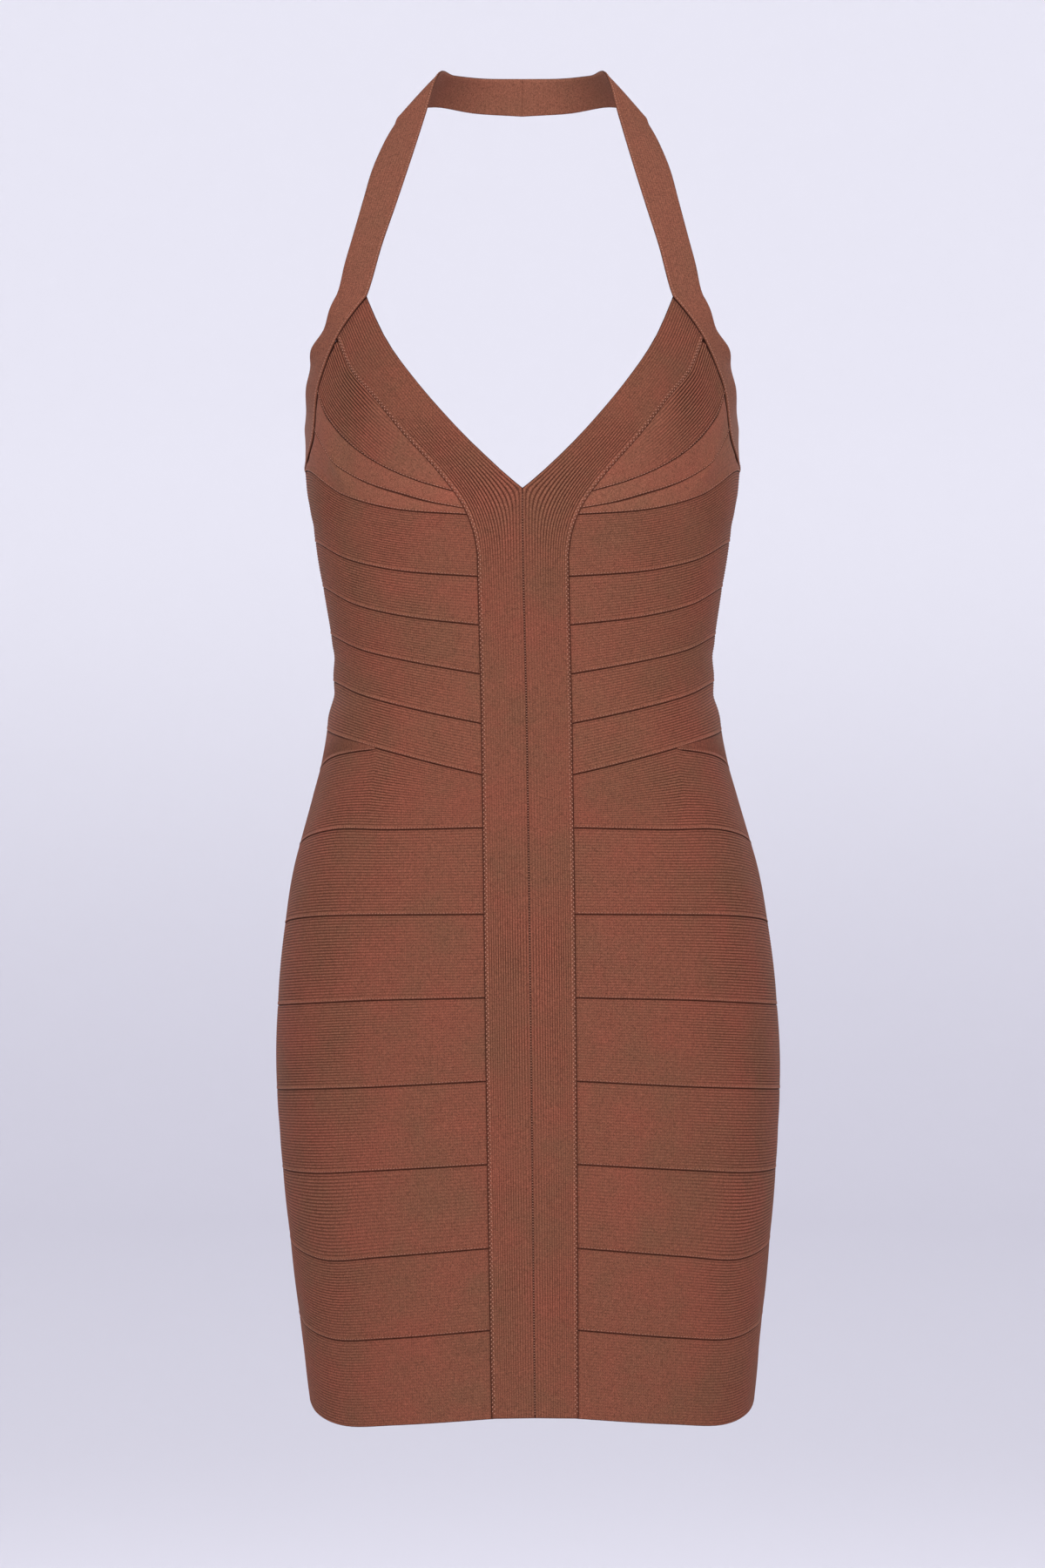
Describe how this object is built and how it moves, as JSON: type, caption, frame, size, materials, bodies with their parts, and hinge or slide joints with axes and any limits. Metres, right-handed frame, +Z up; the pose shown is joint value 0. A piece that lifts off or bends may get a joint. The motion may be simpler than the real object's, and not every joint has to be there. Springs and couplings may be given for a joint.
{
  "type": "bodycon dress",
  "caption": "Worn-shape halter-neck mini dress of ribbed bandage-knit bands round the figure, with long strips down the V neck and centre front.",
  "frame": {"origin": "middle of the halter at the back of the wearer's neck, from which the dress hangs", "axes": "+Z up the figure, -Y out of the dress's front, +X to the wearer's left"},
  "size_m": [0.3366, 0.2326, 0.9004],
  "materials": {
    "band_knit": "matt ribbed bandage knit, terracotta brown",
    "strip_knit": "matt ribbed bandage knit, ribs along the strip",
    "strap_knit": "matt fine-grained knit, smooth"
  },
  "bodies": {
    "root": {"band_midriff_1_left": "band_knit", "band_midriff_2_left": "band_knit", "band_midriff_3_left": "band_knit", "band_midriff_4_left": "band_knit", "band_midriff_5_left": "band_knit", "band_hip_wedge_left": "band_knit", "band_skirt_1_left": "band_knit", "band_skirt_2_left": "band_knit", "band_skirt_3_left": "band_knit", "band_skirt_4_left": "band_knit", "band_skirt_5_left": "band_knit", "band_skirt_6_left": "band_knit", "band_skirt_7_left": "band_knit", "band_hem_left": "band_knit", "cup_band_upper_left": "band_knit", "cup_band_middle_left": "band_knit", "cup_band_lower_left": "band_knit", "long_strip_left": "strip_knit", "halter_strap_left": "strap_knit", "back_top_band_left": "strap_knit", "band_midriff_1_right": "band_knit", "band_midriff_2_right": "band_knit", "band_midriff_3_right": "band_knit", "band_midriff_4_right": "band_knit", "band_midriff_5_right": "band_knit", "band_hip_wedge_right": "band_knit", "band_skirt_1_right": "band_knit", "band_skirt_2_right": "band_knit", "band_skirt_3_right": "band_knit", "band_skirt_4_right": "band_knit", "band_skirt_5_right": "band_knit", "band_skirt_6_right": "band_knit", "band_skirt_7_right": "band_knit", "band_hem_right": "band_knit", "cup_band_upper_right": "band_knit", "cup_band_middle_right": "band_knit", "cup_band_lower_right": "band_knit", "long_strip_right": "strip_knit", "halter_strap_right": "strap_knit", "back_top_band_right": "strap_knit"}
  },
  "joints": []
}
